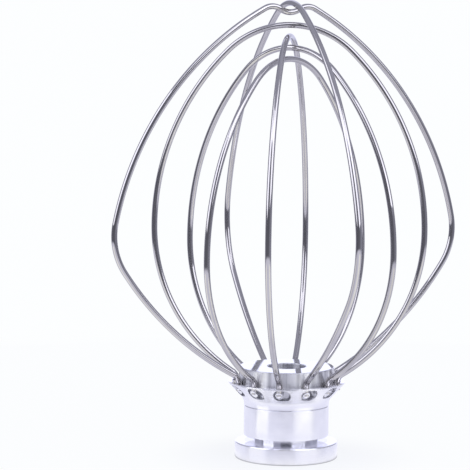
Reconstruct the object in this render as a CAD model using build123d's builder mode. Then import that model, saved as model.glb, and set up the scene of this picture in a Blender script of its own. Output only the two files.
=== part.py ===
# Wire whisk for a stand mixer: a turned hub with a pressed-in plug and six bent wire loops.
# The whisk stands on its drive end. Origin at the centre of the base, +Z up through the loops.
import os
from math import atan2, hypot, sqrt, tan

from build123d import *

# Whole whisk
overall_h = 153.3
overall_w = 123.6       # across the dipped outer loop

# Wire and its tails
wire_d = 2.0
clamp_gap = 0.06        # play between a wire and what clamps it
bend_r = 3.0            # bend of the centreline where a wire turns down at the rim
head_d = 2.5            # upset end of each tail, which looks out of its window
head_round = 0.5
head_drop = 0.13        # head's centre below the middle of the window
head_inset = 0.05       # ground face of the head below the flare's surface

# Plug
bore_d = 12.8
plug_d = 32.1
plug_rise = 4.9         # above the rim
plug_edge = 0.35
skirt_gap = 0.5         # between the tails' heads and the plug's wide part
tail_room = 2.35        # between the tails' heads and the plug's foot
foot_gap = 0.1          # between the plug's foot and the cup

# Hub, from the base up
flange_w = 3.05         # base flange beyond the neck
flange_h = 5.65
flange_round = 0.5
groove_h = 2.0
groove_wall = 1.4       # left between the groove and the pin's slot
neck_h = 11.95
neck_wall = 0.65        # neck beyond the corner of the cup's floor
flare_h = 6.3
flare_round = 4.0
line_w = 0.3            # fine turned line below the flare
line_depth = 0.12
line_gap = 0.1
rim_wall = 1.43
rim_band = 0.5          # upright edge outside the rim
lip_depth = 1.0         # upright part inside the rim
cup_depth = 5.5

# Windows in the flare, one beside each tail
window_w = 5.8
window_h = 3.9
rim_bridge = 0.55       # metal left between a window and the rim

# Twist lock for the drive shaft's side pin
pin_slot_w = 5.2
pin_reach = 3.0         # beyond the bore
ledge_h = 8.6           # ledge that the pin hangs on
pocket_h = 5.6
lock_turn = 70          # degrees from the entry to the seat
seat_depth = 0.8        # hollow in the ledge that the pin settles into

# Outer loops: two at right angles, the dipped one passes under the plain one. Heights are above the rim
plain_turn = 90         # degrees from the dipped one
leg_r = 104.0           # long upper sweep
plain_w = 119.2
plain_crown_r = 21.5
plain_wide_h = 51.6
plain_nose_r = 32.0
plain_lower_r = 140.0
dipped_wide_h = 50.2
dipped_nose_r = 22.0
dipped_lower_r = 107.0
cross_gap = 1.1         # between the two outer loops where they cross
dip_depth = 1.9
shoulder_reach = 6.3    # from the axis to the top of each shoulder
shoulder_r = 5.4

# Inner loops, each smaller and lower than the one before
inner_places = [-1, 2, -2, 1]   # around the axis, counted in tail pitches, tallest first
inner_w = 93.2
inner_step_w = 2.4
inner_crown_r = 29.5
inner_step_crown = 1.5
inner_wide_h = 51.1
inner_step_wide = 2.8
dip_gap = 2.2           # between the dip and the tallest inner loop
nest_gap = 1.75         # between the crowns of the inner loops

# Sizes that follow from those above
wire_r = wire_d / 2
bore_r = bore_d / 2
tail_r = plug_d / 2 + clamp_gap + wire_r
lip_r = tail_r + wire_r + clamp_gap
rim_r = lip_r + rim_wall
head_r = head_d / 2
head_l = head_d + wire_d            # before its face is ground
foot_r = tail_r - head_r - tail_room
floor_r = foot_r + foot_gap
neck_r = floor_r + neck_wall
flange_r = neck_r + flange_w
pin_slot_r = bore_r + pin_reach
groove_r = pin_slot_r + groove_wall

neck_z = flange_h + groove_h
flare_z = neck_z + neck_h
rim_z = flare_z + flare_h
floor_z = rim_z - cup_depth
plug_top_z = rim_z + plug_rise
window_z = rim_z - rim_bridge - window_h / 2
head_z = window_z - head_drop
skirt_z = head_z + head_r + skirt_gap
flare_turn = atan2(rim_r - neck_r, flare_h - rim_band)
line_z = flare_z - flare_round * tan(flare_turn / 2) - line_gap - line_w

tail_count = 2 * (2 + len(inner_places))
tail_pitch = 360 / tail_count
plain_top_z = overall_h - wire_r
dip_z = plain_top_z - wire_d - cross_gap
shoulder_z = dip_z + dip_depth
inner_top_z = dip_z - wire_d - dip_gap

# What is ground off the heads: the room outside the flare, from below the heads up to the windows' tops
ground_low_z = head_z - head_d
ground_top_z = rim_z - rim_bridge
ground_low_r = neck_r + (ground_low_z - flare_z) * tan(flare_turn) - head_inset
ground_top_r = neck_r + (ground_top_z - flare_z) * tan(flare_turn) - head_inset
ground_w = head_l + wire_d

# An arc of a wire's centreline is (centre r, centre z, radius), with a negative radius where it is hollow
tail_bend = (tail_r + bend_r, rim_z, -bend_r)


def leg_between(first, second, radius):
    """Arc of the given radius that runs into both arcs, with its centre inside the loop."""
    r1, z1, radius1 = first
    r2, z2, radius2 = second
    reach1 = radius - radius1
    reach2 = radius - radius2
    span = hypot(r2 - r1, z2 - z1)
    along = (reach1**2 - reach2**2 + span**2) / (2 * span)
    aside = sqrt(reach1**2 - along**2)
    step_r = (r2 - r1) / span
    step_z = (z2 - z1) / span
    return (r1 + step_r * along + step_z * aside, z1 + step_z * along - step_r * aside, radius)


def meeting_point(first, second):
    """Point where two arcs run into each other."""
    r1, z1, radius1 = first
    r2, z2, radius2 = second
    share = radius1 / (radius1 - radius2)
    return (r1 + (r2 - r1) * share, z1 + (z2 - z1) * share)


def outer_arcs(crown, width, wide_h, nose_r, lower_r):
    """Spade shape: the crown's arcs, a long upper leg, a tight nose and a flat lower leg."""
    nose = (width / 2 - wire_r - nose_r, rim_z + wide_h, nose_r)
    upper_leg = leg_between(crown[-1], nose, leg_r)
    lower_leg = leg_between(nose, tail_bend, lower_r)
    return crown + [upper_leg, nose, lower_leg]


def inner_arcs(top_z, crown_r, width, wide_h):
    """Balloon shape: a crown, a side down to the widest point and one arc from there to the hub."""
    half_w = width / 2 - wire_r
    rise = top_z - crown_r - rim_z - wide_h
    side_r = (half_w**2 + rise**2 - crown_r**2) / (2 * (half_w - crown_r))
    inset = half_w - tail_r
    lower_r = ((inset - bend_r) ** 2 + wide_h**2 - bend_r**2) / (2 * inset)
    return [
        (0, top_z - crown_r, crown_r),
        (half_w - side_r, rim_z + wide_h, side_r),
        (half_w - lower_r, rim_z + wide_h, lower_r),
    ]


os.makedirs("parts", exist_ok=True)

# Hub: base flange, undercut groove, neck and flared cup, turned in one piece
with BuildPart() as hub:
    with BuildSketch(Plane.XZ):
        with BuildLine():
            Polyline(
                (bore_r, 0),
                (flange_r, 0),
                (flange_r, flange_h),
                (groove_r, flange_h),
                (groove_r, neck_z),
                (neck_r, neck_z),
                (neck_r, line_z),
                (neck_r - line_depth, line_z + line_w / 2),
                (neck_r, line_z + line_w),
                (neck_r, flare_z),
                (rim_r, rim_z - rim_band),
                (rim_r, rim_z),
                (lip_r, rim_z),
                (lip_r, rim_z - lip_depth),
                (floor_r, floor_z),
                (bore_r, floor_z),
                close=True,
            )
        make_face()
    revolve(axis=Axis.Z)
    rings = hub.edges().filter_by(GeomType.CIRCLE)
    fillet(rings.sort_by(lambda ring: abs(ring.arc_center.Z - flare_z))[0], flare_round)
    flange_side = hub.faces().filter_by(GeomType.CYLINDER).sort_by(Axis.Z)[0]
    fillet(flange_side.edges().filter_by(GeomType.CIRCLE), flange_round)
    # Windows: a tail stands at one end of each, and the rest stays open
    for i in range(tail_count):
        beside_tail = Plane.YZ.rotated((0, 0, i * tail_pitch))
        with BuildSketch(beside_tail.offset(floor_r)):
            with Locations(((window_w - window_h) / 2, window_z)):
                SlotOverall(window_w, window_h)
        extrude(amount=rim_r, mode=Mode.SUBTRACT)
    # Twist lock: entry slot, turning pocket and the seat at its end
    with BuildSketch():
        with Locations((pin_slot_r / 2, 0)):
            Rectangle(pin_slot_r, pin_slot_w)
    extrude(amount=ledge_h + pocket_h, mode=Mode.SUBTRACT)
    with BuildSketch(Plane.XZ):
        with Locations((pin_slot_r / 2, ledge_h + pocket_h / 2)):
            Rectangle(pin_slot_r, pocket_h)
    revolve(axis=Axis.Z, revolution_arc=lock_turn, mode=Mode.SUBTRACT)
    with BuildSketch(Plane.XY.offset(ledge_h - seat_depth).rotated((0, 0, lock_turn))):
        with Locations((pin_slot_r / 2, 0)):
            Rectangle(pin_slot_r, pin_slot_w)
    extrude(amount=seat_depth + pocket_h, mode=Mode.SUBTRACT)
hub.part.label = "hub"
export_step(hub.part, "parts/hub.step")

# Plug: stands on the cup's floor, clamps the wires against the rim and carries the bore on through
with BuildPart() as plug:
    with BuildSketch(Plane.XZ):
        with BuildLine():
            Polyline(
                (bore_r, floor_z),
                (foot_r, floor_z),
                (foot_r, skirt_z),
                (plug_d / 2, skirt_z),
                (plug_d / 2, plug_top_z),
                (bore_r, plug_top_z),
                close=True,
            )
        make_face()
    revolve(axis=Axis.Z)
    chamfer(plug.faces().sort_by(Axis.Z)[-1].edges(), plug_edge)
plug.part.label = "plug"
export_step(plug.part, "parts/plug.step")

# Loops: turn about the axis, and the arcs from the crown down to the bend at the rim
plain_crown = [(0, plain_top_z - plain_crown_r, plain_crown_r)]
dip_r = (shoulder_reach**2 + dip_depth**2) / (2 * dip_depth) - shoulder_r
dipped_crown = [(0, dip_z + dip_r, -dip_r), (shoulder_reach, shoulder_z - shoulder_r, shoulder_r)]
plain_arcs = outer_arcs(plain_crown, plain_w, plain_wide_h, plain_nose_r, plain_lower_r)
dipped_arcs = outer_arcs(dipped_crown, overall_w, dipped_wide_h, dipped_nose_r, dipped_lower_r)
loops = {"outer_loop_plain": (plain_turn, plain_arcs), "outer_loop_dipped": (0, dipped_arcs)}
for i, place in enumerate(inner_places):
    top_z = inner_top_z - i * (wire_d + nest_gap)
    crown_r = inner_crown_r - i * inner_step_crown
    width = inner_w - i * inner_step_w
    wide_h = inner_wide_h - i * inner_step_wide
    loops[f"inner_loop_{i + 1}"] = (place * tail_pitch, inner_arcs(top_z, crown_r, width, wide_h))

for name, (turn, arcs) in loops.items():
    chain = arcs + [tail_bend]
    points = [(0, chain[0][1] + chain[0][2])]
    points += [meeting_point(first, second) for first, second in zip(chain, chain[1:])]
    points += [(tail_r, rim_z)]
    with BuildPart() as loop:
        for end_turn in (turn, turn + 180):
            with BuildSketch(Plane.YZ.rotated((0, 0, end_turn)).offset(tail_r - head_r)):
                with Locations((0, head_z)):
                    Circle(head_r)
            extrude(amount=head_l)
        head_rings = loop.edges().filter_by(GeomType.CIRCLE).sort_by_distance((0, 0, head_z))
        fillet(head_rings[:2], head_round)
        with BuildLine(Plane.XZ.rotated((0, 0, turn))) as centreline:
            for side in (1, -1):
                for (r1, z1), (r2, z2), arc in zip(points, points[1:], chain):
                    RadiusArc((side * r1, z1), (side * r2, z2), side * arc[2])
                Line((side * tail_r, rim_z), (side * tail_r, head_z))
        path = centreline.wire()
        with BuildSketch(Plane(origin=path @ 0, z_dir=path % 0)):
            Circle(wire_r)
        sweep(path=path)
        # The heads' faces are ground to the slope of the flare
        with BuildSketch(Plane.XZ):
            with BuildLine():
                Polyline(
                    (ground_low_r, ground_low_z),
                    (ground_low_r + ground_w, ground_low_z),
                    (ground_top_r + ground_w, ground_top_z),
                    (ground_top_r, ground_top_z),
                    close=True,
                )
            make_face()
        revolve(axis=Axis.Z, mode=Mode.SUBTRACT)
    loop.part.label = name
    export_step(loop.part, f"parts/{name}.step")
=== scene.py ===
import bpy
import numpy as np
from mathutils import Matrix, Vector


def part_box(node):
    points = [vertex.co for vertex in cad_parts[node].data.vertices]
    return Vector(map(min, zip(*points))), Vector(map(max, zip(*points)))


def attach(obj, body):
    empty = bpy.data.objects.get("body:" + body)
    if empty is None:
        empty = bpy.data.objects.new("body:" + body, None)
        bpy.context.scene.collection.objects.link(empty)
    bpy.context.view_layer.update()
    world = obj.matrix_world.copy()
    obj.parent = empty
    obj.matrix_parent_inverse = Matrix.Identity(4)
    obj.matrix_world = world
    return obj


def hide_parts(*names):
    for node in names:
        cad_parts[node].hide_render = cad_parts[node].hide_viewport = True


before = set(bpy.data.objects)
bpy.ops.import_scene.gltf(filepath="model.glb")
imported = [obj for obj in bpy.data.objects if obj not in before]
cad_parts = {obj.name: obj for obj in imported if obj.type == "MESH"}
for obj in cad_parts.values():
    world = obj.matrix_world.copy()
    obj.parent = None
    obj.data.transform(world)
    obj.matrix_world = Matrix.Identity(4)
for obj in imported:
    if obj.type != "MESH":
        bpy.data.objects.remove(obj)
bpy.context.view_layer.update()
mm = 0.001
print("frame loaded:", len(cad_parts), "nodes")


# Mesh helpers

joinGap = 0.002 * mm          # points closer than this are one point


def ringFaces(rows, cols):
    # quads between neighbouring rings of points, closed around each ring: a point is row * cols + col
    row, col = np.meshgrid(np.arange(rows - 1), np.arange(cols), indexing="ij")
    here = row * cols + col
    beside = row * cols + (col + 1) % cols
    return np.stack([here, beside, beside + cols, here + cols], -1).reshape(-1, 4)


def joinPoints(points, faces):
    # points that coincide become one: a quad that loses a side becomes a triangle, one that loses two goes
    key = np.round(points / joinGap).astype(np.int64)
    _, first, same = np.unique(key, axis=0, return_index=True, return_inverse=True)
    faces = same.ravel()[faces]
    twice = faces == np.roll(faces, -1, 1)
    lost = twice.sum(1)
    corners = (np.argmax(twice[lost == 1], 1)[:, None] + 1 + np.arange(3)) % 4
    return first, faces[lost == 0], np.take_along_axis(faces[lost == 1], corners, 1)


def stackParts(parts):
    # several (points, faces) as one, with the faces counted on
    starts = np.cumsum([0] + [len(points) for points, _ in parts[:-1]])
    faces = [own + start for (_, own), start in zip(parts, starts)]
    return np.concatenate([points for points, _ in parts]), np.concatenate(faces)


def makeMesh(name, points, faces, sharpDegrees=180, drawn=None):
    # smooth, but for the edges that turn by more than sharpDegrees
    mesh = bpy.data.meshes.new(name)
    mesh.from_pydata(points.tolist(), [], faces)
    mesh.polygons.foreach_set("use_smooth", np.ones(len(mesh.polygons), bool))
    if drawn is not None:
        attribute = mesh.attributes.new("drawn", "FLOAT_VECTOR", "POINT")
        attribute.data.foreach_set("vector", np.float32(drawn).ravel())
    mesh.set_sharp_from_angle(angle=np.radians(sharpDegrees))
    mesh.update()
    return mesh


def addObject(name, data):
    thing = bpy.data.objects.new(name, data)
    bpy.context.scene.collection.objects.link(thing)
    return thing


def addPiece(name, node, parts, material, sharpDegrees, drawn=None):
    # parts in millimetres become one mesh in metres, which takes the place of a CAD node
    points, faces = stackParts(parts)
    kept, quads, triangles = joinPoints(points * mm, faces)
    if drawn is not None:
        drawn = drawn[kept]
    mesh = makeMesh(node, points[kept] * mm, quads.tolist() + triangles.tolist(), sharpDegrees, drawn)
    mesh.materials.append(material)
    piece = addObject(name, mesh)
    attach(piece, "root")
    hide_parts(node)
    print(" ", name, len(quads), "quads", len(triangles), "triangles")


# Node helpers

def addNode(tree, kind, inputs=None, **settings):
    node = tree.nodes.new(kind)
    for key, value in settings.items():
        setattr(node, key, value)
    for key, value in (inputs or {}).items():
        if isinstance(value, bpy.types.NodeSocket):
            tree.links.new(value, node.inputs[key])
        else:
            node.inputs[key].default_value = value
    return node


def mathNode(tree, operation, a, b=0.0):
    return addNode(tree, "ShaderNodeMath", {0: a, 1: b}, operation=operation).outputs[0]


def vectorNode(tree, operation, a, b=(0, 0, 0)):
    return addNode(tree, "ShaderNodeVectorMath", {0: a, 1: b}, operation=operation).outputs


def mapRange(tree, value, low, high, toLow=0.0, toHigh=1.0):
    inputs = {"Value": value, "From Min": low, "From Max": high, "To Min": toLow, "To Max": toHigh}
    return addNode(tree, "ShaderNodeMapRange", inputs, interpolation_type="SMOOTHSTEP").outputs[0]


def between(tree, value, low, high, soft):
    # 1 inside low..high, with an edge that is soft to each side
    rising = mapRange(tree, value, low - soft, low + soft)
    falling = mapRange(tree, value, high - soft, high + soft, 1.0, 0.0)
    return mathNode(tree, "MULTIPLY", rising, falling)


def mixColor(tree, share, under, over):
    return addNode(tree, "ShaderNodeMix", {0: share, 6: under, 7: over}, data_type="RGBA").outputs[2]


def mixValue(tree, share, under, over):
    return addNode(tree, "ShaderNodeMix", {0: share, 2: under, 3: over}, data_type="FLOAT").outputs[0]


def mixShader(tree, share, under, over):
    return addNode(tree, "ShaderNodeMixShader", {0: share, 1: under, 2: over}).outputs[0]


def noiseNode(tree, vector, scale, detail=2.0):
    inputs = {"Vector": vector, "Scale": scale, "Detail": detail}
    return addNode(tree, "ShaderNodeTexNoise", inputs).outputs[0]


def bumpNode(tree, height, depth, normal=None):
    inputs = {"Strength": 1.0, "Distance": depth, "Height": height}
    if normal is not None:
        inputs["Normal"] = normal
    return addNode(tree, "ShaderNodeBump", inputs).outputs[0]


def objectSpot(tree):
    return addNode(tree, "ShaderNodeTexCoord").outputs["Object"]


def newMaterial(name):
    material = bpy.data.materials.new(name)
    material.use_nodes = True
    material.node_tree.nodes.clear()
    return material, material.node_tree


def newGroup(name, inputs, outputs):
    group = bpy.data.node_groups.new(name, "ShaderNodeTree")
    for socket, kind, value in inputs:
        made = group.interface.new_socket(socket, in_out="INPUT", socket_type=kind)
        made.default_value = value
    for socket, kind in outputs:
        group.interface.new_socket(socket, in_out="OUTPUT", socket_type=kind)
    return group, group.nodes.new("NodeGroupInput").outputs, group.nodes.new("NodeGroupOutput").inputs


def fillGroup(group, result, made):
    for socket, value in made.items():
        group.links.new(value, result[socket])


# Sizes that the pieces share, in millimetres and degrees

hubSize = {"boreR": 6.4, "flangeH": 5.65, "flangeW": 3.05, "flangeRound": 0.5, "grooveR": 10.8,
           "grooveH": 2.0, "neckH": 11.95, "neckWall": 0.65, "flareRound": 4.0, "lineW": 0.3,
           "lineDepth": 0.12, "lineGap": 0.1, "rimBand": 0.5, "lipDepth": 1.0, "cupDepth": 5.5, "edge": 0.12,
           "windowW": 5.8, "windowH": 3.9, "rimBridge": 0.55, "pinSlotW": 5.2, "pinSlotR": 9.4, "ledgeZ": 8.6,
           "pocketH": 5.6, "lockTurn": 70, "seatDepth": 0.8, "clampGap": 0.06, "footGap": 0.1, "sharp": 32}
wireSize = {"r": 1.0, "bendR": 3.0, "step": 0.7, "turnStep": 3, "around": 28, "headR": 1.25,
            "headRound": 0.5, "headDrop": 0.13, "headInset": 0.05, "headEdge": 0.08, "punchR": 0.4,
            "punchDepth": 0.22, "sharp": 50}
plugSize = {"edge": 0.35, "skirtGap": 0.5, "tailRoom": 2.35, "sharp": 32}
rimR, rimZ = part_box("hub")[1][0] / mm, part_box("hub")[1][2] / mm
plugR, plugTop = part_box("plug")[1][0] / mm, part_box("plug")[1][2] / mm
tailCount = 12
tailR = plugR + hubSize["clampGap"] + wireSize["r"]
lipR = tailR + wireSize["r"] + hubSize["clampGap"]
footR = tailR - wireSize["headR"] - plugSize["tailRoom"]
floorR = footR + hubSize["footGap"]
neckR = floorR + hubSize["neckWall"]
flangeR = neckR + hubSize["flangeW"]
neckZ = hubSize["flangeH"] + hubSize["grooveH"]
flareZ = neckZ + hubSize["neckH"]
floorZ = rimZ - hubSize["cupDepth"]
bandZ = rimZ - hubSize["rimBand"]
lipZ = rimZ - hubSize["lipDepth"]
windowHigh = rimZ - hubSize["rimBridge"]
windowLow = windowHigh - hubSize["windowH"]
windowZ = (windowLow + windowHigh) / 2
headZ = windowZ - wireSize["headDrop"]
skirtZ = headZ + wireSize["headR"] + plugSize["skirtGap"]
flareTurn = np.arctan2(rimR - neckR, bandZ - flareZ)
blend = hubSize["flareRound"] * np.tan(flareTurn / 2)
lineZ = flareZ - blend - hubSize["lineGap"] - hubSize["lineW"]


def outerCone(z):
    # the flare's radius at a height: a straight cone up and out from the neck
    return neckR + (z - flareZ) * np.tan(flareTurn)


def innerWall(z):
    # the cup's radius at a height: a cone from its floor out to the lip, and upright above that
    return np.minimum(floorR + (z - floorZ) * (lipR - floorR) / (lipZ - floorZ), lipR)


# Finish groups: the lines a lathe tool leaves, and the uneven haze of a hand-polished surface

patchEdge = (0.35, 0.7)          # noise below the first is clear, above the second a full patch

latheLines, given, result = newGroup(
    "latheLines",
    [("Lines per metre", "NodeSocketFloat", 8000.0), ("Band width", "NodeSocketFloat", 0.002),
     ("Bore edge", "NodeSocketFloat", 0.0065), ("Rubs around", "NodeSocketFloat", 9.0)],
    [("Height", "NodeSocketFloat"), ("Bands", "NodeSocketFloat"), ("From axis", "NodeSocketFloat"),
     ("Height above base", "NodeSocketFloat"), ("In bore", "NodeSocketFloat"), ("Rubs and shade", "NodeSocketFloat")])
spot = addNode(latheLines, "ShaderNodeSeparateXYZ", {0: objectSpot(latheLines)}).outputs
squares = [mathNode(latheLines, "POWER", spot[axis], 2.0) for axis in "XY"]
fromAxis = mathNode(latheLines, "SQRT", mathNode(latheLines, "ADD", *squares))
ring = addNode(latheLines, "ShaderNodeCombineXYZ", {"X": fromAxis, "Y": spot["Z"]}).outputs[0]
facing = {axis: mathNode(latheLines, "DIVIDE", spot[axis], fromAxis) for axis in "XY"}
facing = addNode(latheLines, "ShaderNodeCombineXYZ", facing).outputs[0]
rubsAndShade = noiseNode(latheLines, facing, given["Rubs around"], 3.0)
bandScale = mathNode(latheLines, "DIVIDE", 1.0, given["Band width"])
fillGroup(latheLines, result, {
    "Height": noiseNode(latheLines, ring, given["Lines per metre"], 3.0),
    "Bands": noiseNode(latheLines, ring, bandScale),
    "From axis": fromAxis,
    "Height above base": spot["Z"],
    "In bore": mathNode(latheLines, "LESS_THAN", fromAxis, given["Bore edge"]),
    "Rubs and shade": mapRange(latheLines, rubsAndShade, *patchEdge)})

polishHaze, given, result = newGroup(
    "polishHaze",
    [("Clear", "NodeSocketColor", (0.9, 0.9, 0.9, 1)), ("Hazed", "NodeSocketColor", (0.8, 0.8, 0.8, 1)),
     ("Patch size", "NodeSocketFloat", 0.008), ("Smooth", "NodeSocketFloat", 0.1),
     ("Rough", "NodeSocketFloat", 0.2)],
    [("Color", "NodeSocketColor"), ("Roughness", "NodeSocketFloat"), ("Wave", "NodeSocketFloat")])
spot = objectSpot(polishHaze)
patchScale = mathNode(polishHaze, "DIVIDE", 1.0, given["Patch size"])
waveScale = mathNode(polishHaze, "DIVIDE", 0.5, given["Patch size"])          # as long as two patches
haze = mapRange(polishHaze, noiseNode(polishHaze, spot, patchScale, 3.0), *patchEdge)
fillGroup(polishHaze, result, {
    "Color": mixColor(polishHaze, haze, given["Clear"], given["Hazed"]),
    "Roughness": mixValue(polishHaze, haze, given["Smooth"], given["Rough"]),
    "Wave": noiseNode(polishHaze, spot, waveScale, 1.0)})


# Finishes: what the three metals share, then each one's own

# how soft a finish's border is, and how far it lies from the edge that it follows, in millimetres
finishZone = {"soft": 0.02, "edge": 0.05, "inset": 0.3, "bore": 0.1}
bandTone = {"from": (0.3, 0.75), "share": 0.6}
boreEdge = (hubSize["boreR"] + finishZone["bore"]) * mm


def hazedPolish(tree, look):
    values = {"Clear": look["clear"], "Hazed": look["hazed"], "Patch size": look["patch"],
              "Smooth": look["smooth"], "Rough": look["rough"]}
    return addNode(tree, "ShaderNodeGroup", values, node_tree=polishHaze).outputs


def turnedFinish(tree, look):
    # hazed polish with faint bands of tone and fine lines around the axis
    haze = hazedPolish(tree, look)
    values = {"Lines per metre": look["lines"], "Band width": look["band"], "Bore edge": boreEdge}
    lathe = addNode(tree, "ShaderNodeGroup", values, node_tree=latheLines).outputs
    bands = mapRange(tree, lathe["Bands"], *bandTone["from"], 0.0, bandTone["share"])
    tone = mixColor(tree, bands, haze["Color"], look["hazed"])
    return tone, haze["Roughness"], bumpNode(tree, lathe["Height"], look["lineDepth"]), lathe


def metalSurface(tree, color, roughness, normal, look):
    inputs = {"Base Color": color, "Metallic": 1.0, "Roughness": roughness, "Normal": normal,
              "Specular Tint": look["edgeTint"], "Anisotropic": look["streak"]}
    if look["streak"]:
        around = addNode(tree, "ShaderNodeTangent", direction_type="RADIAL", axis="Z").outputs[0]
        inputs.update({"Tangent": around, "Anisotropic Rotation": 0.25})          # a quarter turn
    shader = addNode(tree, "ShaderNodeBsdfPrincipled", inputs)
    addNode(tree, "ShaderNodeOutputMaterial", {"Surface": shader.outputs[0]})


# Wire finish: bright drawn stainless, with faint die lines along it and a slow unevenness from bending

wireLook = {"clear": (0.625, 0.61, 0.605, 1), "hazed": (0.58, 0.565, 0.56, 1),
            "lined": (0.49, 0.475, 0.48, 1), "ground": (0.93, 0.93, 0.95, 1), "patch": 0.006,
            "smooth": 0.04, "rough": 0.1, "dieLines": 2.6, "dieStretch": 13.0, "dieEdge": (0.42, 0.62),
            "dieDepth": 0.0000025, "waveDepth": 0.00003, "edgeTint": (0.75, 0.75, 0.78, 1), "streak": 0.0}
headMark = -1.0          # on the ground faces of the tails' heads, in place of the length along the wire
wireSteel, tree = newMaterial("brightDrawnSteel")
haze = hazedPolish(tree, wireLook)
drawnAt = addNode(tree, "ShaderNodeAttribute", attribute_name="drawn").outputs["Vector"]
stretched = vectorNode(tree, "MULTIPLY", drawnAt, (1, 1, wireLook["dieStretch"]))["Vector"]
lines = noiseNode(tree, stretched, wireLook["dieLines"], 3.0)
tone = mixColor(tree, mapRange(tree, lines, *wireLook["dieEdge"]), haze["Color"], wireLook["lined"])
along = addNode(tree, "ShaderNodeSeparateXYZ", {0: drawnAt}).outputs["Z"]
# painted highlight: the ground faces of the tails' heads are given a near-white colour
tone = mixColor(tree, mathNode(tree, "LESS_THAN", along, headMark / 2), tone, wireLook["ground"])
normal = bumpNode(tree, lines, wireLook["dieDepth"])
normal = bumpNode(tree, haze["Wave"], wireLook["waveDepth"], normal)
metalSurface(tree, tone, haze["Roughness"], normal, wireLook)

# Hub finish: turned aluminium, its fine tool lines blurring what it mirrors up and down

hubLook = {"clear": (0.975, 0.975, 0.995, 1), "hazed": (0.945, 0.945, 0.98, 1), "patch": 0.004,
           "smooth": 0.18, "rough": 0.21, "lines": 9000.0, "band": 0.0016, "lineDepth": 0.0000003,
           "cutLineShade": (0.78, 0.78, 0.84, 1), "groove": (0.85, 0.85, 0.9, 1), "grooveRough": 0.12,
           "bore": (0.7, 0.7, 0.74, 1), "rubbedAndShaded": (0.5, 0.5, 0.54, 1), "boreRough": 0.5,
           "edgeTint": (1, 1, 1, 1), "streak": 1.0}
hubMetal, tree = newMaterial("turnedAluminium")
tone, rough, normal, lathe = turnedFinish(tree, hubLook)
height, soft = lathe["Height above base"], finishZone["soft"] * mm
# painted shade: the fine line cut round the neck is given a darker colour
cutLineShade = between(tree, height, lineZ * mm, (lineZ + hubSize["lineW"]) * mm, soft)
tone = mixColor(tree, cutLineShade, tone, hubLook["cutLineShade"])
# the undercut groove is painted darker as shade, and it and the flange's top are smoother
low, high = hubSize["flangeH"] - finishZone["edge"], neckZ + finishZone["edge"]
level = between(tree, height, low * mm, high * mm, soft)
inside = mathNode(tree, "LESS_THAN", lathe["From axis"], (neckR - finishZone["inset"]) * mm)
tone = mixColor(tree, mathNode(tree, "MULTIPLY", level, inside), tone, hubLook["groove"])
rough = mixValue(tree, level, rough, hubLook["grooveRough"])
# the bore keeps a rougher turned finish and rub marks from the shaft, and is painted darker as shade inside
# the hole
rubbedAndShaded = mixColor(tree, lathe["Rubs and shade"], hubLook["bore"], hubLook["rubbedAndShaded"])
tone = mixColor(tree, lathe["In bore"], tone, rubbedAndShaded)
rough = mixValue(tree, lathe["In bore"], rough, hubLook["boreRough"])
metalSurface(tree, tone, rough, normal, hubLook)

# Plug finish: the same metal, faced smooth on top, with rub marks down its side that also carry painted shade

plugLook = {"clear": (0.965, 0.97, 0.98, 1), "hazed": (0.92, 0.925, 0.945, 1), "patch": 0.005,
            "smooth": 0.05, "rough": 0.1, "lines": 6000.0, "band": 0.0012, "lineDepth": 0.000001,
            "rubbedAndShaded": (0.42, 0.42, 0.45, 1), "sideRubsAndShade": 0.75, "sideRough": 0.4,
            "foot": (0.78, 0.78, 0.81, 1), "footRough": 0.27, "bore": (0.72, 0.72, 0.76, 1), "boreRough": 0.5,
            "edgeTint": (1, 1, 1, 1), "streak": 0.8}
plugMetal, tree = newMaterial("facedAluminium")
tone, rough, normal, lathe = turnedFinish(tree, plugLook)
height = lathe["Height above base"]
onSide = mathNode(tree, "LESS_THAN", height, (plugTop - finishZone["edge"]) * mm)
below = mathNode(tree, "LESS_THAN", height, (rimZ - finishZone["inset"]) * mm)
rubsAndShade = mathNode(tree, "MULTIPLY", mathNode(tree, "SUBTRACT", onSide, below), lathe["Rubs and shade"])
rough = mixValue(tree, onSide, rough, plugLook["sideRough"])
rough = mixValue(tree, below, rough, plugLook["footRough"])
rough = mixValue(tree, lathe["In bore"], rough, plugLook["boreRough"])
tone = mixColor(tree, below, tone, plugLook["foot"])
# painted shade: the bore is given a darker colour inside the hole
tone = mixColor(tree, lathe["In bore"], tone, plugLook["bore"])
# rub marks and painted shade: the side is darkened in patches
tone = mixColor(tree, mathNode(tree, "MULTIPLY", rubsAndShade, plugLook["sideRubsAndShade"]), tone, plugLook["rubbedAndShaded"])
metalSurface(tree, tone, rough, normal, plugLook)

for name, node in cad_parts.items():
    node.data.materials.clear()
    node.data.materials.append({"hub": hubMetal, "plug": plugMetal}.get(name, wireSteel))
print("finishes ready")


# Wire loops: arcs are (centre r, centre z, radius), the radius negative where the wire is hollow outwards

def legBetween(first, second, radius):
    # arc of that radius that runs into both: its centre lies where circles of the two differences cross
    (r1, z1, a1), (r2, z2, a2) = first, second
    reach1, reach2 = radius - a1, radius - a2
    span = np.hypot(r2 - r1, z2 - z1)
    along = (reach1**2 - reach2**2 + span**2) / (2 * span)
    aside = np.sqrt(reach1**2 - along**2)
    stepR, stepZ = (r2 - r1) / span, (z2 - z1) / span
    return (r1 + stepR * along + stepZ * aside, z1 + stepZ * along - stepR * aside, radius)


def meetingPoint(first, second):
    # where two arcs run into each other, on the line through their centres
    share = first[2] / (first[2] - second[2])
    return np.array(first[:2]) + (np.array(second[:2]) - np.array(first[:2])) * share


tailBend = (tailR + wireSize["bendR"], rimZ, -wireSize["bendR"])
ringAngle = np.arange(wireSize["around"]) * 2 * np.pi / wireSize["around"]


def outerArcs(crown, size):
    # crown, long leg, nose at the widest place, run to the hub and bend at the rim
    nose = (size["halfW"] - size["noseR"], rimZ + size["wideH"], size["noseR"])
    leg = legBetween(crown[-1], nose, size["legR"])
    return crown + [leg, nose, legBetween(nose, tailBend, size["lowerR"]), tailBend]


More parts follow.
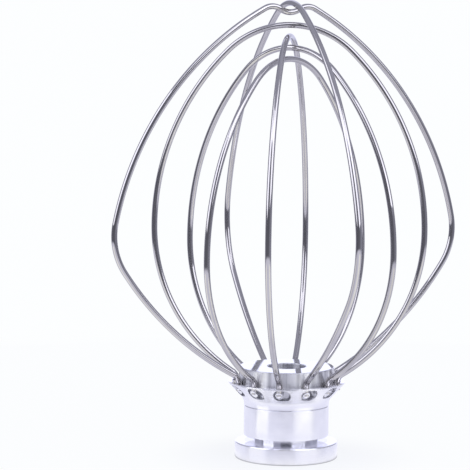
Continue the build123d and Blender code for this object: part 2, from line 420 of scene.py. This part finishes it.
def innerArcs(topZ, crownR, halfW, wideH):
    # crown, side and lower side, which meet upright at the widest place, and bend at the rim: where arcs run
    # into each other, the distance of their centres is the difference of their radii
    rise = topZ - crownR - rimZ - wideH
    sideR = (halfW**2 + rise**2 - crownR**2) / (2 * (halfW - crownR))
    inset = halfW - tailR
    lowerR = ((inset - wireSize["bendR"]) ** 2 + wideH**2 - wireSize["bendR"] ** 2) / (2 * inset)
    side = (halfW - sideR, rimZ + wideH, sideR)
    lower = (halfW - lowerR, rimZ + wideH, lowerR)
    return [(0, topZ - crownR, crownR), side, lower, tailBend]


def turnedPoints(r, side, z, turn):
    # points given outward from the axis, aside and up, turned about the axis
    c, s = np.cos(np.radians(turn)), np.sin(np.radians(turn))
    return np.stack([r * c - side * s, r * s + side * c, z], -1).reshape(-1, 3)


def wireTube(arcs, turn):
    # half of the centreline is points on the arcs, from the crown to the rim, and the straight tail, which
    # ends in its head; the other half is its mirror image, and a circle is carried along the whole
    ends = [np.array([0, arcs[0][1] + arcs[0][2]])]
    ends += [meetingPoint(a, b) for a, b in zip(arcs, arcs[1:])] + [np.array([tailR, rimZ])]
    line, out = [], []
    for (cr, cz, radius), start, stop in zip(arcs, ends, ends[1:]):
        a0, a1 = [np.arctan2(p[1] - cz, p[0] - cr) for p in (start, stop)]
        sweep = (a1 - a0 + np.pi) % (2 * np.pi) - np.pi
        byLength = abs(sweep * radius) / wireSize["step"]
        byTurn = abs(np.degrees(sweep)) / wireSize["turnStep"]
        count = int(max(byLength, byTurn, 2)) + 1
        angle = a0 + sweep * np.arange(count) / count
        arm = np.stack([np.cos(angle), np.sin(angle)], -1)
        line.append(np.array([cr, cz]) + abs(radius) * arm)
        out.append(arm * np.sign(radius))
    line.append(np.array([[tailR, rimZ], [tailR, headZ], [tailR, headZ]]))
    out.append(np.tile([1.0, 0.0], (3, 1)))
    line, out = np.concatenate(line), np.concatenate(out)
    radius = np.r_[np.full(len(line) - 1, wireSize["r"]), 0]          # the last ring closes the end
    flip = np.array([-1, 1])
    line = np.concatenate([(line * flip)[:0:-1], line])
    out = np.concatenate([(out * flip)[:0:-1], out])
    radius = np.r_[radius[:0:-1], radius][:, None]
    along = np.r_[0, np.cumsum(np.hypot(*np.diff(line, axis=0).T))][:, None] * mm
    swell = radius * np.cos(ringAngle)
    r, z = line[:, :1] + out[:, :1] * swell, line[:, 1:] + out[:, 1:] * swell
    points = turnedPoints(r, -radius * np.sin(ringAngle), z, turn)
    drawn = np.stack(np.broadcast_arrays(np.cos(ringAngle), np.sin(ringAngle), along), -1).reshape(-1, 3)
    return points, ringFaces(len(line), wireSize["around"]), drawn


def tailHead(turn):
    # rings about the line from the axis out through a tail: the back's middle, its rounded edge, and the face
    # ground to the flare's cone, r = sqrt((coneR(z) - depth)^2 - side^2), with a punch mark in the middle
    big, roundR, edge = wireSize["headR"], wireSize["headRound"], wireSize["headEdge"]
    curve = np.radians(np.linspace(90, 0, 7))
    size = np.r_[0, big - roundR + roundR * np.cos(curve)][:, None]
    back = tailR - big + np.r_[0, roundR * (1 - np.sin(curve))][:, None]
    mark = np.linspace(1, 0, 5)
    face = np.r_[big, big - edge, 0.8 * big, 0.6 * big, wireSize["punchR"] * mark][:, None]
    depth = np.r_[edge, 0, 0, 0, wireSize["punchDepth"] * (1 - mark**2)][:, None] + wireSize["headInset"]
    faceZ = headZ + face * np.cos(ringAngle)
    faceSide = -face * np.sin(ringAngle)
    r = np.concatenate([back + 0 * ringAngle, np.sqrt((outerCone(faceZ) - depth) ** 2 - faceSide**2)])
    side = np.concatenate([-size * np.sin(ringAngle), faceSide])
    z = np.concatenate([headZ + size * np.cos(ringAngle), faceZ])
    return turnedPoints(r, side, z, turn), ringFaces(len(r), wireSize["around"])


plainLoop = {"turn": 90, "crownR": 21.5, "legR": 104.0, "halfW": 58.6, "wideH": 51.6, "noseR": 32.0,
             "lowerR": 140.0}
dippedLoop = {"turn": 0, "underGap": 1.1, "dipDepth": 1.9, "reach": 6.3, "shoulderR": 5.4, "legR": 104.0,
              "halfW": 60.8, "wideH": 50.2, "noseR": 22.0, "lowerR": 107.0}
# a step is what each loop is lower or narrower than the one outside it
innerLoops = {"turns": (-30, 60, -60, 30), "underGap": 2.2, "topStep": 3.75, "crownR": 29.5,
              "crownStep": 1.5, "halfW": 45.6, "halfStep": 1.2, "wideH": 51.1, "wideStep": 2.8}
wireW = 2 * wireSize["r"]
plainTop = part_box("outer_loop_plain")[1][2] / mm - wireSize["r"]
plainCrown = [(0, plainTop - plainLoop["crownR"], plainLoop["crownR"])]
# the dip runs into its shoulders: reach^2 + (sum - depth)^2 = sum^2, where sum is that of the two radii
dipZ = plainTop - wireW - dippedLoop["underGap"]
depth, reach, shoulderR = dippedLoop["dipDepth"], dippedLoop["reach"], dippedLoop["shoulderR"]
dipR = (reach**2 + depth**2) / (2 * depth) - shoulderR
dippedCrown = [(0, dipZ + dipR, -dipR), (reach, dipZ + depth - shoulderR, shoulderR)]
loops = {"outer_loop_plain": (plainLoop["turn"], outerArcs(plainCrown, plainLoop)),
         "outer_loop_dipped": (dippedLoop["turn"], outerArcs(dippedCrown, dippedLoop))}
for i, turn in enumerate(innerLoops["turns"]):
    top = dipZ - wireW - innerLoops["underGap"] - innerLoops["topStep"] * i
    crownR = innerLoops["crownR"] - innerLoops["crownStep"] * i
    halfW = innerLoops["halfW"] - innerLoops["halfStep"] * i
    wideH = innerLoops["wideH"] - innerLoops["wideStep"] * i
    loops[f"inner_loop_{i + 1}"] = (turn, innerArcs(top, crownR, halfW, wideH))
for name, (turn, arcs) in loops.items():
    tube, tubeFaces, drawn = wireTube(arcs, turn)
    heads = [tailHead(turn), tailHead(turn + 180)]
    headDrawn = np.tile([0, 0, headMark], (sum(len(points) for points, _ in heads), 1))
    addPiece(name + "_wire", name, [(tube, tubeFaces)] + heads, wireSteel, wireSize["sharp"],
             np.concatenate([drawn, headDrawn]))
print("wire loops made")


# Hub: rings of points turned about the axis, with the flare's windows let in as patches

# points in each part of the mesh, and the margins of a window's patch in millimetres
hubMesh = {"perSector": 40, "roundSteps": 9, "edgeSteps": 5, "flareSteps": 17, "endSteps": 16,
           "outerRings": 7, "innerRings": 5, "below": 0.35, "above": 0.2}
perSector = hubMesh["perSector"]
pitch = 2 * np.pi / tailCount
patchLow, patchHigh = windowLow - hubMesh["below"], windowHigh + hubMesh["above"]
# half a window's straight run, which is also how far its centre lies aside from its tail
halfRun = (hubSize["windowW"] - hubSize["windowH"]) / 2
sectorMid = np.arcsin(halfRun / outerCone(windowZ))
phi = sectorMid - pitch / 2 + np.arange(tailCount * perSector) * pitch / perSector


def arcPoints(cr, cz, radius, start, stop, count):
    a = np.radians(np.linspace(start, stop, count))
    return np.stack([cr + radius * np.cos(a), cz + radius * np.sin(a)], -1)


def slotReach(at):
    # how far a straight-sided slot reaches from the axis in each direction: to its end or its side, if nearer
    tiny = 1e-6
    off = (phi - np.radians(at) + np.pi) % (2 * np.pi) - np.pi
    toEnd = hubSize["pinSlotR"] / np.maximum(np.cos(off), tiny)
    toSide = hubSize["pinSlotW"] / 2 / np.maximum(np.abs(np.sin(off)), tiny)
    return np.where(np.cos(off) > 0, np.minimum(toEnd, toSide), 0)


def turnRings(profile):
    # a profile of (r, z) carried about the axis; r may differ with the angle
    r = np.stack([np.broadcast_to(np.asarray(p[0], float), phi.shape) for p in profile])
    z = np.stack([np.full(len(phi), p[1]) for p in profile])
    points = np.stack([r * np.cos(phi), r * np.sin(phi), z], -1).reshape(-1, 3)
    return points, ringFaces(len(profile), len(phi))


def windowPatch():
    # the wall around one window: a slot outline blended out to the sector's four sides, on the outer cone and
    # on the inner wall, and the slot's own edge between them
    endSteps, half = hubMesh["endSteps"], hubSize["windowH"] / 2
    a = np.radians(np.linspace(-90, 90, endSteps + 1)[:-1])
    run = np.linspace(-halfRun, halfRun, perSector + 1)[:-1]
    flat = np.full(perSector, half)
    y = np.r_[halfRun + half * np.cos(a), -run, -halfRun - half * np.cos(a), run] + halfRun
    z = np.r_[half * np.sin(a), flat, -half * np.sin(a), -flat] + windowZ
    upright = np.arange(endSteps) / endSteps
    level = np.arange(perSector) / perSector
    side = np.full(endSteps, 0.5)
    framePhi = np.r_[side, 0.5 - level, -side, level - 0.5] * pitch + sectorMid
    outside = (outerCone, bandZ, np.linspace(1, 0, hubMesh["outerRings"]))
    within = (innerWall, patchHigh, np.linspace(0, 1, hubMesh["innerRings"]))
    rows = []
    for wall, high, shares in (outside, within):
        edgePhi = np.arcsin(y / wall(z))
        climb = (high - patchLow) * upright
        frameZ = np.r_[patchLow + climb, np.full(perSector, high), high - climb, np.full(perSector, patchLow)]
        for share in shares:
            rowZ = z + (frameZ - z) * share
            rowPhi = edgePhi + (framePhi - edgePhi) * share
            r = wall(rowZ)
            rows.append(np.stack([r * np.cos(rowPhi), r * np.sin(rowPhi), rowZ], -1))
    return np.concatenate(rows), ringFaces(len(rows), len(y))


# the bore from the cup's floor down, with the lock's pocket, seat and entry slot
circle = np.full(len(phi), hubSize["boreR"])
entry = np.maximum(circle, slotReach(0))
seat = np.maximum(entry, slotReach(hubSize["lockTurn"]))
locked = np.degrees(phi) % 360 <= hubSize["lockTurn"]
pocket = np.maximum(seat, np.where(locked, hubSize["pinSlotR"], 0))
ledge, pocketTop = hubSize["ledgeZ"], hubSize["ledgeZ"] + hubSize["pocketH"]
seatZ = ledge - hubSize["seatDepth"]
boreRings = [(circle, floorZ), (circle, pocketTop), (pocket, pocketTop), (pocket, ledge), (seat, ledge),
             (seat, seatZ), (entry, seatZ), (entry, 0)]
# the outside from the base up to the windows, the rim above them, and the cup's inside below them
flangeRound, flareRound, edge = hubSize["flangeRound"], hubSize["flareRound"], hubSize["edge"]
roundSteps, edgeSteps = hubMesh["roundSteps"], hubMesh["edgeSteps"]
flareStop = 180 - np.degrees(flareTurn)
skin = np.concatenate([
    arcPoints(flangeR - flangeRound, flangeRound, flangeRound, -90, 0, roundSteps),
    arcPoints(flangeR - flangeRound, hubSize["flangeH"] - flangeRound, flangeRound, 0, 90, roundSteps),
    [[hubSize["grooveR"], hubSize["flangeH"]], [hubSize["grooveR"], neckZ]],
    arcPoints(neckR - edge, neckZ + edge, edge, -90, 0, edgeSteps),
    [[neckR, lineZ], [neckR - hubSize["lineDepth"], lineZ + hubSize["lineW"] / 2]],
    [[neckR, lineZ + hubSize["lineW"]]],
    arcPoints(neckR + flareRound, flareZ - blend, flareRound, 180, flareStop, hubMesh["flareSteps"]),
    [[outerCone(patchLow), patchLow]],
])
rim = np.concatenate([
    [[rimR, bandZ]],
    arcPoints(rimR - edge, rimZ - edge, edge, 0, 90, edgeSteps),
    arcPoints(lipR + edge, rimZ - edge, edge, 90, 180, edgeSteps),
    [[lipR, patchHigh]],
])
cup = np.array([[innerWall(patchLow), patchLow], [floorR, floorZ], [hubSize["boreR"], floorZ]])
parts = [turnRings(boreRings + [tuple(p) for p in skin]), turnRings(rim), turnRings(cup)]
patch, patchFaces = windowPatch()
for i in range(tailCount):
    c, s = np.cos(i * pitch), np.sin(i * pitch)
    parts.append((patch @ np.array([[c, s, 0], [-s, c, 0], [0, 0, 1]]), patchFaces))
addPiece("hub_turned", "hub", parts, hubMetal, hubSize["sharp"])
print("hub made")


# Plug: a turned profile, from its foot up the outside, over the top and down the bore

chamfer = plugSize["edge"]
plugLine = np.array([
    [footR, floorZ], [footR, skirtZ], [plugR, skirtZ], [plugR, plugTop - chamfer],
    [plugR - chamfer, plugTop], [hubSize["boreR"] + chamfer, plugTop],
    [hubSize["boreR"], plugTop - chamfer], [hubSize["boreR"], floorZ], [footR, floorZ],
])
addPiece("plug_faced", "plug", [turnRings(plugLine)], plugMetal, plugSize["sharp"])
print("plug made")


# Stage: camera, pale floor, white backdrop, soft boxes and the dark of the room behind the camera

camera = {"azimuth": -22.0, "distance": 0.720, "height": 0.14144, "yaw": 1.411, "pitch": 5.281, "roll": 0.430,
          "lens": 165.5, "sensor": 36.0, "clip": (0.01, 20.0)}
cameraTurn, yaw, dive, roll = np.radians([camera[key] for key in ("azimuth", "yaw", "pitch", "roll")])
forward = np.array([-np.sin(yaw) * np.cos(dive), np.cos(yaw) * np.cos(dive), -np.sin(dive)])
right = np.array([np.cos(yaw), np.sin(yaw), 0.0])
up = np.cross(right, forward)
right, up = np.cos(roll) * right + np.sin(roll) * up, np.cos(roll) * up - np.sin(roll) * right
turnCos, turnSin = np.cos(cameraTurn), np.sin(cameraTurn)
spin = np.array([[turnCos, -turnSin, 0], [turnSin, turnCos, 0], [0, 0, 1]])


def placeObject(thing, axes, place):
    # columns of axes are the object's own X, Y and Z in the scene
    matrix = np.eye(4)
    matrix[:3, :3] = axes
    matrix[:3, 3] = place
    thing.matrix_world = Matrix(matrix.tolist())


lensData = bpy.data.cameras.new("camera")
lensData.lens = camera["lens"]
lensData.sensor_width = camera["sensor"]
lensData.clip_start, lensData.clip_end = camera["clip"]
cameraObject = addObject("camera", lensData)
bpy.context.scene.camera = cameraObject
placeObject(cameraObject, spin @ np.stack([right, up, -forward], 1),
            spin @ np.array([0, -camera["distance"], camera["height"]]))


def bearing(tree, toward):
    # azimuth of a direction in degrees, counted from the camera's side
    ahead = vectorNode(tree, "DOT_PRODUCT", toward, (turnSin, -turnCos, 0))["Value"]
    aside = vectorNode(tree, "DOT_PRODUCT", toward, (turnCos, turnSin, 0))["Value"]
    return mathNode(tree, "DEGREES", mathNode(tree, "ARCTAN2", aside, ahead))


# lengths in metres from the axis; a sheen has two angles and its softness
paper = {"white": (0.98, 0.992, 1.0, 1), "shade": (0.82, 0.83, 0.96, 1),
         "lavender": (0.835, 0.84, 0.985, 1), "sheen": (1.16, 1.16, 1.14, 1), "half": 3.0,
         "underHub": 0.013, "foot": 0.0165, "near": 0.05, "far": 0.3, "footShare": 0.84, "nearShare": 0.975,
         "leftSheen": (-80, -46, 3), "rightSheen": (24, 70, 12), "sheenRing": (0.05, 0.32, 0.015),
         "nearSheen": (0.02, 0.036), "nearSheenShare": 0.4, "contact": 0.0022, "contactTone": 0.48,
         "mirrored": 0.36, "edge": 0.5}
paperWhite, tree = newMaterial("paperFloor")
path = addNode(tree, "ShaderNodeLightPath").outputs
spot = objectSpot(tree)
away = vectorNode(tree, "LENGTH", spot)["Value"]
# the camera sees white paper, with a little of the whisk's own shadow near its foot
nearWhite = mapRange(tree, away, paper["foot"], paper["near"], paper["footShare"], paper["nearShare"])
nearWhite = mathNode(tree, "MULTIPLY", nearWhite, mathNode(tree, "GREATER_THAN", away, paper["underHub"]))
whiteShare = mathNode(tree, "MAXIMUM", nearWhite, mapRange(tree, away, paper["near"], paper["far"]))
plain = addNode(tree, "ShaderNodeBsdfDiffuse", {"Color": paper["shade"]}).outputs[0]
bright = addNode(tree, "ShaderNodeEmission", {"Color": paper["white"], "Strength": 1.0}).outputs[0]
# the metal mirrors it as lavender; in a ring about the hub a white sheen towards each soft box is painted on
around = bearing(tree, spot)
sheens = [between(tree, around, *paper[side]) for side in ("leftSheen", "rightSheen")]
inRing = between(tree, away, *paper["sheenRing"])
sheen = mathNode(tree, "MULTIPLY", mathNode(tree, "MAXIMUM", *sheens), inRing)
# close to the hub a paler sheen is painted on all round, with a painted thin shadow where the flange stands
# on it
nearSheen = mapRange(tree, away, *paper["nearSheen"], paper["nearSheenShare"], 0.0)
mirroredTone = mixColor(tree, mathNode(tree, "MAXIMUM", sheen, nearSheen), paper["lavender"], paper["sheen"])
contact = mapRange(tree, away, flangeR * mm, flangeR * mm + paper["contact"], paper["contactTone"], 1.0)
mirrored = addNode(tree, "ShaderNodeEmission", {"Color": mirroredTone, "Strength": contact}).outputs[0]
both = mixShader(tree, path["Is Glossy Ray"], plain, mirrored)
both = mixShader(tree, mathNode(tree, "MULTIPLY", path["Is Camera Ray"], whiteShare), both, bright)
# the metal mirrors the sheet only as far as its edge, and the room beyond
beyond = mapRange(tree, away, paper["mirrored"], paper["edge"])
beyond = mathNode(tree, "MULTIPLY", path["Is Glossy Ray"], beyond)
both = mixShader(tree, beyond, both, addNode(tree, "ShaderNodeBsdfTransparent").outputs[0])
addNode(tree, "ShaderNodeOutputMaterial", {"Surface": both})
corners = np.array([[-1, -1, 0], [1, -1, 0], [1, 1, 0], [-1, 1, 0]]) * paper["half"]
floorMesh = makeMesh("floor", corners, [[0, 1, 2, 3]])
floorMesh.materials.append(paperWhite)
floor = addObject("floor", floorMesh)

# the room that the metal mirrors, by direction: a zone is its brightness, then azimuths from the camera's
# side and elevations, each as low, high and softness; back, flank and horizon lie to both sides
room = {"tint": (0.94, 0.955, 1.18, 1), "grey": 0.49,
        "back": (1.1, (155, 200, 8), (-100, 45, 10)), "flank": (0.42, (112, 152, 6), (-100, 60, 8)),
        "fill": (0.78, (-47, -17, 3), (18, 60, 3)), "notch": (0.12, (-19, 18, 3), (0, 42, 3)),
        "horizon": ((-10, 100, 8), (-100, 11, 3)), "dark": 0.155, "darkRight": 0.3, "rightFrom": (15, 45)}
world = bpy.data.worlds.new("studio")
bpy.context.scene.world = world
world.use_nodes = True
tree = world.node_tree
tree.nodes.clear()
toward = addNode(tree, "ShaderNodeTexCoord").outputs["Generated"]
azimuth = bearing(tree, toward)
bothSides = mathNode(tree, "ABSOLUTE", azimuth)
rise = addNode(tree, "ShaderNodeSeparateXYZ", {0: toward}).outputs["Z"]
elevation = mathNode(tree, "DEGREES", mathNode(tree, "ARCSINE", rise))


def roomZone(angle, azimuths, elevations):
    return mathNode(tree, "MULTIPLY", between(tree, angle, *azimuths), between(tree, elevation, *elevations))


level = room["grey"]
for name, angle in (("back", bothSides), ("flank", bothSides), ("fill", azimuth), ("notch", azimuth)):
    brightness, azimuths, elevations = room[name]
    level = mixValue(tree, roomZone(angle, azimuths, elevations), level, brightness)
dark = mixValue(tree, mapRange(tree, azimuth, *room["rightFrom"]), room["dark"], room["darkRight"])
level = mixValue(tree, roomZone(bothSides, *room["horizon"]), level, dark)
roomLight = addNode(tree, "ShaderNodeBackground", {"Color": room["tint"], "Strength": level}).outputs[0]
white = addNode(tree, "ShaderNodeBackground", {"Color": paper["white"], "Strength": 1.0}).outputs[0]
seen = addNode(tree, "ShaderNodeLightPath").outputs["Is Camera Ray"]
addNode(tree, "ShaderNodeOutputWorld", {"Surface": mixShader(tree, seen, roomLight, white)})

# a soft box is its azimuth from the camera's side, elevation, width and height in degrees, and brightness
boxes = {"distance": 3.0, "aim": 0.09, "tint": (0.97, 0.98, 1.06)}
softBoxes = {"leftBox": (-68, 27.5, 44, 41, 1.4), "rightBox": (48, 34.5, 52, 44, 1.5),
             "frontTopBox": (-10, 53, 34, 16, 1.2)}


def addSoftBox(name, azimuth, elevation, width, height, brightness):
    # faces the whisk's middle; its power is brightness * pi * area
    a, e = np.radians([camera["azimuth"] + azimuth, elevation])
    back = np.array([np.sin(a) * np.cos(e), -np.cos(a) * np.cos(e), np.sin(e)])
    side = np.array([np.cos(a), np.sin(a), 0.0])
    data = bpy.data.lights.new(name, "AREA")
    data.shape = "RECTANGLE"
    data.size, data.size_y = 2 * boxes["distance"] * np.tan(np.radians([width, height]) / 2)
    data.energy = brightness * np.pi * data.size * data.size_y
    data.color = boxes["tint"]
    lamp = addObject(name, data)
    lamp.visible_camera = False
    placeObject(lamp, np.stack([side, np.cross(back, side), back], 1),
                back * boxes["distance"] + np.array([0, 0, boxes["aim"]]))


for name, values in softBoxes.items():
    addSoftBox(name, *values)
bpy.context.scene.view_settings.view_transform = "Standard"
print("stage ready")
